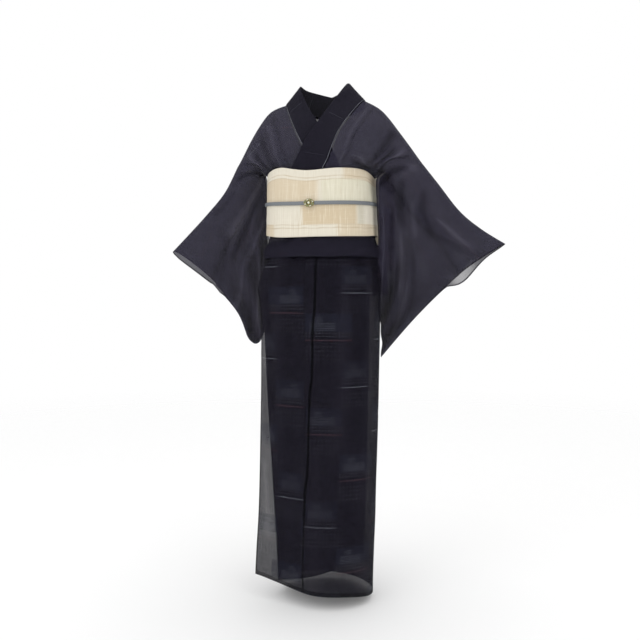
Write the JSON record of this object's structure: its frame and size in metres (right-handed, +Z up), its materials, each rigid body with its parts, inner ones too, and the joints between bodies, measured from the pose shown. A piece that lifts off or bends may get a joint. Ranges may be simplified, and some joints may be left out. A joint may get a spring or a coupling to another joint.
{
  "type": "tsumugi kimono",
  "caption": "Sheer dark summer kimono in its worn form, wrapped left over right, with a pale sash tied in a drum, a flat cord and a small slide.",
  "frame": {"origin": "on the shoulder line at the neck, midway between the two shoulders, where the wearer holds the garment up", "axes": "+Z up, -Y to the wearer's front, +X to the wearer's left"},
  "size_m": [0.8589, 0.3614, 1.3066],
  "materials": {
    "kimono_cloth": "sheer plain weave, matt, with thin dashes and small woven checks",
    "collar_cloth": "the same weave folded double, nearly opaque",
    "sash_cloth": "cream and beige slub weave, matt",
    "cord_braid": "flat grey braid",
    "slide_metal": "aged openwork with small pale stones"
  },
  "bodies": {
    "root": {"bodice_left": "kimono_cloth", "bodice_right": "kimono_cloth", "skirt_left_front": "kimono_cloth", "skirt_left_overlap": "kimono_cloth", "skirt_left_back": "kimono_cloth", "skirt_right_back": "kimono_cloth", "skirt_right_front": "kimono_cloth", "skirt_right_overlap": "kimono_cloth", "sleeve_left": "kimono_cloth", "sleeve_right": "kimono_cloth", "collar": "collar_cloth", "sash_band": "sash_cloth", "sash_drum": "sash_cloth", "sash_tail": "sash_cloth", "sash_end": "sash_cloth", "cord": "cord_braid", "cord_slide": "slide_metal"}
  },
  "joints": []
}
